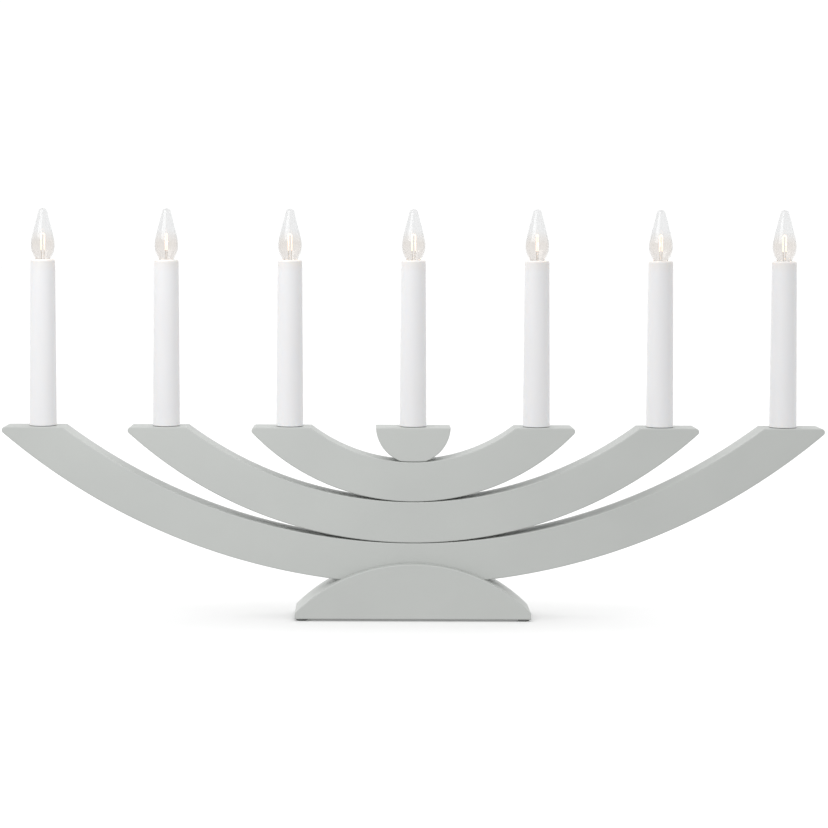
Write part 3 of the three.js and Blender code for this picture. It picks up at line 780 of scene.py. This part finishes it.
def twin_lead(name, route, sides):
    """Two cores side by side along a route, each point with the direction across the pair."""
    bpy.ops.curve.primitive_nurbs_path_add()
    lead = bpy.context.active_object
    lead.name = f"{name}_flex"
    curve = lead.data
    curve.splines.clear()
    for half in (-1, 1):
        core = curve.splines.new("NURBS")
        core.points.add(len(route) - 1)
        for point, place, side in zip(core.points, route, sides):
            point.co = (*(Vector(place) + half * CORE_RADIUS * 0.96 * Vector(side)), 1)
        core.order_u = 3
        core.use_endpoint_u = True
        core.resolution_u = 3
    curve.bevel_depth = CORE_RADIUS
    curve.bevel_resolution = 2
    curve.use_fill_caps = True
    bpy.ops.object.convert(target="MESH")
    lead = settle(f"{name}_flex")
    shade(lead, 60)
    dress(lead, "root", "lead_plastic", LEAD_WHITE, f"{name}_lead")


def arm_lead(name, light, overhang, bottom, inside):
    """A lead along an arm's groove, up through the wood and into the sleeve at both ends."""
    _, _, (radius, centre) = arm_curves(light, overhang, bottom, inside)
    reach = math.asin((light - LEAD_TURN) / radius)
    steps = math.ceil(2 * reach * radius / (9 * MM))
    angles = [-reach + 2 * reach * step / steps for step in range(steps + 1)]
    route = [(radius * math.sin(a), ARM_LEAD_Y, centre - radius * math.cos(a)) for a in angles]
    sides = [(math.sin(a), 0, -math.cos(a)) for a in angles]
    ends = []
    for x in (light - 7 * MM, light - 2.2 * MM):
        share = (light - x) / LEAD_TURN
        ends.append((x, share * ARM_LEAD_Y, centre - math.sqrt(radius**2 - x**2)))
    for z in (ARM_TOP - 1 * MM, (ARM_TOP + LEAD_END) / 2, LEAD_END):
        ends.append((light, 0, z))
    end_sides = [sides[-1]] + [(1, 0, 0)] * (len(ends) - 1)
    mirrored = [(-x, y, z) for x, y, z in reversed(ends)]
    mirrored_sides = [(-x, y, z) for x, y, z in reversed(end_sides)]
    twin_lead(name, mirrored + route + ends, mirrored_sides + sides + end_sides)


def riser_lead():
    """The lead from the bush up the backs of the arms and into the middle sleeve."""
    route = [
        (0, BUSH_FLANGE_Y, INLET_HEIGHT),
        (0, 15 * MM, INLET_HEIGHT),
        (0, RISER_Y + 1 * MM, INLET_HEIGHT + 1.5 * MM),
        (0, RISER_Y, INLET_HEIGHT + 7 * MM),
        (0, RISER_Y, 60 * MM),
        (0, RISER_Y, 90 * MM),
        (0, RISER_Y, ARM_TOP - LEAD_TURN - 3 * MM),
        (0, RISER_Y * 0.9, ARM_TOP - LEAD_TURN + 2 * MM),
        (0, RISER_Y / 3, ARM_TOP - 9 * MM),
        (0, 0, ARM_TOP - 1 * MM),
        (0, 0, (ARM_TOP + LEAD_END) / 2),
        (0, 0, LEAD_END),
    ]
    twin_lead("riser", route, [(1, 0, 0)] * len(route))


for name, sizes in ARMS.items():
    arm_lead(name, *sizes)
riser_lead()


# Lights, each modelled once about the middle and copied along the row

LIGHT_PLACES = {number: (number - 4) * LIGHT_SPACING for number in range(1, 8)}
# How far each lamp is screwed round, in radians
LAMP_TURNS = {1: 0.5, 2: 1.2, 3: -0.4, 4: 0.15, 5: 1.0, 6: -0.9, 7: 0.35}


def along_row(piece, name, body, slot, finish, node, turning=False):
    """Sets a copy of a piece at each light, turned as that lamp is if it turns with the lamp."""
    copies = []
    for number, x in LIGHT_PLACES.items():
        turn = LAMP_TURNS[number] if turning else 0.0
        copy = moved_copy(piece, f"{name}_{number}", (x, 0, 0), turn)
        dress(copy, body.format(number), slot, finish, f"{node}_{number}")
        copies.append(copy)
    bpy.data.objects.remove(piece)
    return copies


def light_turned(name, profile, facets):
    """A turned piece from radii and heights above the sleeve's top, in millimetres."""
    return turned(name, [(radius * MM, level(height)) for radius, height in profile], facets)


def sleeve():
    foot = ARM_TOP + SEAT_GAP
    bore, mouth, rim = 4.4 * MM, 5.7 * MM, 8.3 * MM
    tube = turned(
        "sleeve",
        [
            (bore, foot - SPIGOT_LENGTH),
            (SPIGOT_RADIUS, foot - SPIGOT_LENGTH),
            (SPIGOT_RADIUS, foot),
            (9.85 * MM, foot),
            (8.8 * MM, SLEEVE_TOP),
            (mouth, SLEEVE_TOP),
            (mouth, level(-1.5)),
            (7.85 * MM, level(-1.5)),
            (8.65 * MM, foot + 2 * MM),
            (bore, foot + 2 * MM),
            (bore, foot - SPIGOT_LENGTH),
        ],
        72,
    )
    with editing(tube, "EDGE"):
        pick_edges(
            tube,
            lambda one, two: min(one.z, two.z) > SLEEVE_TOP - WELD
            and math.hypot(one.x, one.y) > rim
            and math.hypot(two.x, two.y) > rim,
        )
        bpy.ops.mesh.bevel(offset=1.5 * MM, segments=6, profile=0.5, affect="EDGES")
    soften(tube, 0.3 * MM)
    shade(tube)
    along_row(tube, "sleeve_tube", "root", "sleeve_plastic", SLEEVE_WHITE, "sleeve")


def lampholder():
    profile = [(0, -20.5), (7.55, -20.5), (7.55, -1.8), (5.4, -1.8)]
    profile += [(5.4, -16.5), (1.6, -16.5), (1.6, -16), (0, -16)]
    holder = light_turned("holder", profile, 56)
    soften(holder, 0.25 * MM)
    shade(holder)
    along_row(holder, "holder_body", "root", "holder_plastic", HOLDER_WHITE, "lampholder")


def bezier(points, steps):
    """Places along a curve with four guide points, without its first."""
    (ax, az), (bx, bz), (cx, cz), (dx, dz) = points
    for step in range(1, steps + 1):
        t = step / steps
        s = 1 - t
        weights = (s**3, 3 * s * s * t, 3 * s * t * t, t**3)
        yield (
            sum(w * v for w, v in zip(weights, (ax, bx, cx, dx))),
            sum(w * v for w, v in zip(weights, (az, bz, cz, dz))),
        )


def bulb():
    """The flame-shaped glass, from its neck in the cap up to its blunt sealed tip."""
    profile = [(4.05, -5.4), (4.05, -3.4), (4.4, -1.6), (5.2, 0.0)]
    profile += bezier([(5.2, 0.0), (6.6, 2.9), (8.6, 4.6), (8.6, 10.9)], 9)
    profile += bezier([(8.6, 10.9), (8.6, 14.8), (6.8, 20.3), (3.0, 35.5)], 18)
    profile += bezier([(3.0, 35.5), (2.75, 36.5), (1.7, 37.0), (0.0, 37.0)], 6)
    glass = light_turned("bulb", profile, 56)
    wall = glass.modifiers.new("wall", "SOLIDIFY")
    wall.thickness = 0.4 * MM
    wall.offset = -1
    apply_modifiers(glass)
    shade(glass, 60)
    row = along_row(glass, "bulb_glass", "lamp_turn_{}", "lamp_glass", GLASS, "lamp_glass", True)
    for copy in row:
        copy.visible_shadow = False


def stem():
    """The pressed glass stem that carries the wires."""
    profile = [(0, -5.4), (3.0, -5.4), (3.05, -4.6), (2.4, -3.8)]
    profile += [(1.95, -2.8), (1.8, -1.0), (1.5, -0.4), (0, -0.2)]
    post = light_turned("stem", profile, 32)
    soften(post, 0.2 * MM, 2)
    with editing(post, "FACE"):
        pick_faces(post, lambda centre, normal: centre.z > level(-2.2))
        bpy.ops.transform.resize(value=(1.15, 0.55, 1), center_override=(0, 0, SLEEVE_TOP))
    shade(post, 60)
    along_row(post, "bulb_stem", "lamp_turn_{}", "lamp_glass", GLASS, "lamp_filament", True)


def support_wires():
    """Two wires that rise from the stem and lean outwards to the ends of the coil."""
    bpy.ops.mesh.primitive_circle_add(
        vertices=10, radius=0.2 * MM, fill_type="NGON", location=(1.0 * MM, 0, level(-1.0))
    )
    wires = settle("wires")
    with editing(wires, "FACE"):
        bpy.ops.mesh.select_all(action="SELECT")
        for out, up in ((0.0, 3.8), (0.1, 1.8), (0.15, 1.4), (0.05, 0.8)):
            extrude(out * MM, 0, up * MM)
        face_outwards()
    mirror = wires.modifiers.new("pair", "MIRROR")
    mirror.use_axis = (True, False, False)
    mirror.use_mirror_merge = False
    apply_modifiers(wires)
    with editing(wires, "FACE"):
        face_outwards()
    shade(wires, 60)
    along_row(wires, "bulb_wires", "lamp_turn_{}", None, WIRE, "lamp_filament", True)


def coil():
    """The glowing coil, wound straight and then bent over a hairpin."""
    spread_half, low, top = 1.3 * MM, 6.8, 18.6
    bend = level(top) - spread_half
    legs = bend - level(low)
    length = 2 * legs + math.pi * spread_half
    pitch = 0.52 * MM
    turns = round(length / pitch)
    bpy.ops.mesh.primitive_circle_add(
        vertices=6, radius=0.15 * MM, location=(0, 0, 0.36 * MM), rotation=(math.pi / 2, 0, 0)
    )
    winding = settle("coil")
    screw = winding.modifiers.new("winding", "SCREW")
    screw.axis = "X"
    screw.angle = FULL_TURN
    screw.screw_offset = pitch
    screw.iterations = turns
    screw.steps = screw.render_steps = 9
    apply_modifiers(winding)
    bpy.ops.curve.primitive_nurbs_path_add()
    hairpin = bpy.context.active_object
    hairpin.data.splines.clear()
    line = hairpin.data.splines.new("POLY")
    route = [(-spread_half, 0, level(low))]
    for step in range(17):
        angle = math.pi * (1 - step / 16)
        route.append((spread_half * math.cos(angle), 0, bend + spread_half * math.sin(angle)))
    route.append((spread_half, 0, level(low)))
    line.points.add(len(route) - 1)
    for point, place in zip(line.points, route):
        point.co = (*place, 1)
    bent = winding.modifiers.new("hairpin", "CURVE")
    bent.object = hairpin
    bent.deform_axis = "POS_X"
    apply_modifiers(winding)
    bpy.data.objects.remove(hairpin)
    with editing(winding, "VERT"):
        bpy.ops.mesh.select_all(action="SELECT")
        bpy.ops.mesh.remove_doubles(threshold=WELD)
        bpy.ops.mesh.fill_holes(sides=8)
        face_outwards()
    shade(winding, 60)
    along_row(winding, "bulb_coil", "lamp_turn_{}", "filament", GLOW, "lamp_filament", True)


def screw_cap():
    """The rolled screw shell: one pitch of rounded thread, wound up and trimmed square."""
    pitch, crest, depth = 1.81 * MM, 4.7 * MM, 0.42 * MM
    low, high = level(-12.9), level(-4.6)
    steps = 10
    outline = Outline("cap", crest, low - 2 * pitch)
    for step in range(1, steps + 1):
        swing = (1 - math.cos(FULL_TURN * step / steps)) / 2
        outline.line_to(crest - depth * swing, low - 2 * pitch + pitch * step / steps)
    bpy.ops.object.mode_set(mode="OBJECT")
    shell = outline.piece
    winding = shell.modifiers.new("thread", "SCREW")
    winding.axis = "Z"
    winding.angle = FULL_TURN
    winding.screw_offset = pitch
    winding.iterations = math.ceil((high - low) / pitch) + 3
    winding.steps = winding.render_steps = 40
    winding.use_merge_vertices = True
    winding.merge_threshold = WELD
    apply_modifiers(shell)
    with editing(shell, "FACE"):
        bpy.ops.mesh.select_all(action="SELECT")
        bpy.ops.mesh.remove_doubles(threshold=WELD)
        for cut, side in ((low, "clear_inner"), (high, "clear_outer")):
            bpy.ops.mesh.select_all(action="SELECT")
            bpy.ops.mesh.bisect(
                plane_co=(0, 0, cut), plane_no=(0, 0, 1), use_fill=True, **{side: True}
            )
        face_outwards()
        pick_faces(shell, lambda centre, normal: normal.z > 0.9 and centre.z > high - WELD)
        for scale, up in ((1.09, 0.25), (1.0, 0.85)):
            extrude(0, 0, up * MM)
            bpy.ops.transform.resize(value=(scale, scale, 1), center_override=(0, 0, high))
        bpy.ops.mesh.inset(thickness=0.5 * MM)
        extrude(0, 0, -8.3 * MM)
    shade(shell, 50)
    along_row(shell, "bulb_cap", "lamp_turn_{}", "lamp_cap", BRASS, "lamp_cap", True)


def insulator():
    profile = [(0, -12.95), (4.1, -12.95), (2.5, -14.3), (0, -14.3)]
    ring = light_turned("insulator", profile, 40)
    soften(ring, 0.3 * MM)
    shade(ring)
    along_row(ring, "bulb_insulator", "lamp_turn_{}", None, CAP_BLACK, "lamp_cap")


def solder_tip():
    """The domed blob of solder under the cap."""
    profile = [(0, -14.6), (1.7, -14.6), (1.9, -14.8), (1.85, -15.2)]
    profile += [(1.45, -15.5), (0.8, -15.67), (0, -15.7)]
    tip = light_turned("solder", profile, 32)
    shade(tip, 50)
    along_row(tip, "bulb_contact", "lamp_rise_{}", "solder", SOLDER, "lamp_contact")


sleeve()
lampholder()
bulb()
stem()
support_wires()
coil()
screw_cap()
insulator()
solder_tip()


# Studio: pale floor, white surround that dims below, soft lights and the photograph's view

WOODEN = ("base", "lower_arm", "middle_arm", "upper_arm", "centre_cup")
WOOD = [bpy.data.objects[f"{name}_wood"] for name in WOODEN]


def soft_light(name, place, aim, size, power, pieces, state="INCLUDE"):
    """A square soft light, out of the camera's sight, for some pieces only or all but those."""
    bpy.ops.object.light_add(type="AREA", location=place)
    light = bpy.context.active_object
    light.name = name
    light.data.shape = "SQUARE"
    light.data.size = size
    light.data.energy = power
    light.rotation_euler = (Vector(aim) - Vector(place)).to_track_quat("-Z", "Y").to_euler()
    light.visible_camera = False
    group = bpy.data.collections.new(f"{name}_pieces")
    light.light_linking.receiver_collection = group
    for piece in pieces:
        group.objects.link(piece)
    for member in group.collection_objects:
        member.light_linking.link_state = state
    return light


def studio():
    bpy.ops.mesh.primitive_plane_add(size=30, location=(0, 0, 0))
    floor = settle("studio_floor")
    finish, tree, shader = new_finish("pale_floor", Roughness=0.9, Specular_IOR_Level=0.0)
    fleck = noise(tree, spread(tree), 3.0)
    tones(tree, fleck, (0.965, 0.965, 0.965), (0.975, 0.975, 0.975), shader.inputs["Base Color"])
    floor.data.materials.append(finish)
    floor.visible_diffuse = False

    surround = bpy.data.worlds.new("white_surround")
    surround.use_nodes = True
    tree = surround.node_tree
    sky = tree.nodes["Background"]
    sky.inputs["Strength"].default_value = 1.05
    direction = add_node(tree, "TexCoord")
    height = add_node(tree, "SeparateXYZ")
    tree.links.new(direction.outputs["Generated"], height.inputs["Vector"])
    rise = add_node(tree, "MapRange", From_Min=-0.3, From_Max=-0.02)
    tree.links.new(height.outputs["Z"], rise.inputs["Value"])
    dim, white = (0.55, 0.55, 0.55), (1.0, 1.0, 1.0)
    tones(tree, rise.outputs["Result"], dim, white, sky.inputs["Color"], start=0.0, end=1.0)
    scene = bpy.context.scene
    scene.world = surround
    scene.view_settings.view_transform = "Standard"

    # Each light's place, what it points at, its width in metres, its power in watts, its pieces
    left_out = [floor, *WOOD]
    soft_light("upper_left_key", (-0.4, -0.4, 0.72), (0, 0, 0.15), 0.6, 2.7, left_out, "EXCLUDE")
    soft_light("wood_key", (-0.22, -0.386, 0.335), (0, 0, 0.12), 0.3, 0.6, WOOD)
    back = soft_light("back_fill", (0, 0.8, 0.42), (0, 0, 0.08), 0.7, 1.9, WOOD)
    end = soft_light("base_fill", (-0.55, 0.45, 0.16), (-0.07, 0, 0.02), 0.3, 1.3, WOOD[:1])
    for fill in (back, end):
        fill.visible_glossy = fill.visible_transmission = False
    soft_light("floor_wash", (0, 0, 2.4), (0, 0, 0), 3, 16, [floor])

    for number, x in LIGHT_PLACES.items():
        bpy.ops.object.light_add(type="POINT", location=(x, 0, level(12)))
        glow = bpy.context.active_object
        glow.name = f"lamp_glow_{number}"
        glow.data.color = (1.0, 0.72, 0.42)
        glow.data.energy = 0.0025
        glow.data.shadow_soft_size = 1.5 * MM
        glow.visible_camera = glow.visible_glossy = glow.visible_transmission = False

    # The view, fitted to the lights, arm ends and base in the photograph
    bpy.ops.object.camera_add(location=(-0.0333, -1.4626, 0.2804))
    camera = bpy.context.active_object
    camera.name = "photo_view"
    camera.rotation_euler = (math.radians(88), math.radians(-0.167), 0)
    focal_length, picture_width, sensor_width = 2008.6, 828, 36  # pixels, pixels, millimetres
    camera.data.sensor_width = sensor_width
    camera.data.lens = focal_length / picture_width * sensor_width
    camera.data.shift_x = 0.0556
    camera.data.shift_y = -0.1335
    scene.camera = camera


studio()
